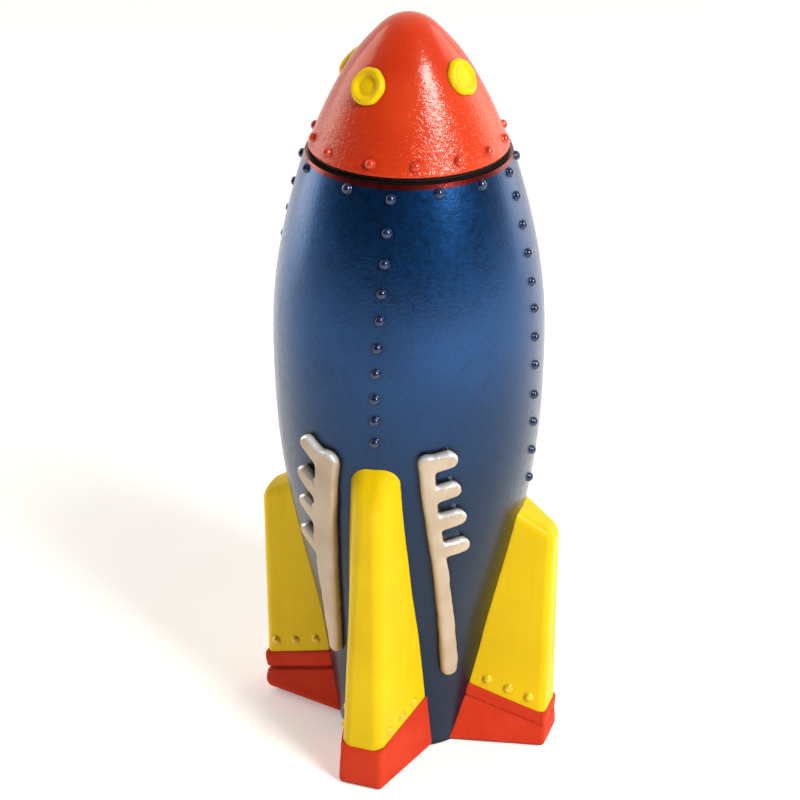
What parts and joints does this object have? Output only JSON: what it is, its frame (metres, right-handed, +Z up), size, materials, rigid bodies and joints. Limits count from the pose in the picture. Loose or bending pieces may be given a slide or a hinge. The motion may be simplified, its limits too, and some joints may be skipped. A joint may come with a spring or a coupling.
{
  "type": "tin toy space rocket",
  "caption": "Upright toy space rocket: riveted barrel hull on wedge fins with rubber boots, side exhaust manifolds and a lift-off nose cap with portholes.",
  "frame": {"origin": "on the rocket's axis at floor level, the bottom centre of the bounding box", "axes": "+Z up along the hull axis; the front tall fin points along -Y, the short fins along +X and -X"},
  "size_m": [0.0942, 0.0902, 0.23],
  "materials": {
    "hull_blue": "metallic dark blue enamel, glossy",
    "nose_red": "orange-red enamel, glossy with a slight orange-peel",
    "fin_yellow": "bright yellow enamel, satin",
    "boot_red": "matt red rubber, fine grain",
    "exhaust_silver": "warm silver paint, bright worn edges",
    "rivet_blue": "dark blue enamel, glossy",
    "rivet_red": "orange-red enamel, glossy",
    "rivet_yellow": "yellow enamel, satin",
    "porthole_yellow": "yellow enamel, glossy",
    "seal_black": "black rubber, matt",
    "tin_bare": "bare tinplate"
  },
  "bodies": {
    "hull": {"boot_front": "boot_red", "boot_left": "boot_red", "boot_rear": "boot_red", "boot_right": "boot_red", "exhaust_front_left": "exhaust_silver", "exhaust_front_right": "exhaust_silver", "exhaust_rear_left": "exhaust_silver", "exhaust_rear_right": "exhaust_silver", "fin_front": "fin_yellow", "fin_left": "fin_yellow", "fin_rear": "fin_yellow", "fin_right": "fin_yellow", "fin_rivets_front": "rivet_yellow", "fin_rivets_left": "rivet_yellow", "fin_rivets_rear": "rivet_yellow", "fin_rivets_right": "rivet_yellow", "hull_panel_front_left": "hull_blue", "hull_panel_front_right": "hull_blue", "hull_panel_rear_left": "hull_blue", "hull_panel_rear_right": "hull_blue", "neck_ring": "tin_bare", "neck_rivets": "rivet_blue", "seam_rivets_front": "rivet_blue", "seam_rivets_left": "rivet_blue", "seam_rivets_rear": "rivet_blue", "seam_rivets_right": "rivet_blue", "tail_plate": "tin_bare"},
    "neck_seal": {"seal_ring": "seal_black"},
    "nose": {"nose_cone": "nose_red", "nose_sleeve": "tin_bare", "nose_rivets": "rivet_red", "porthole_front": "porthole_yellow", "porthole_right": "porthole_yellow", "porthole_rear": "porthole_yellow", "porthole_left": "porthole_yellow"}
  },
  "joints": [
    {"name": "nose_turn", "type": "hinge", "parent": "hull", "child": "neck_seal", "pos_m": [0, 0, 0.191], "axis": [0, 0, 1], "continuous": true},
    {"name": "nose_lift", "type": "slide", "parent": "neck_seal", "child": "nose", "axis": [0, 0, 1], "range_m": [0, 0.05]}
  ]
}
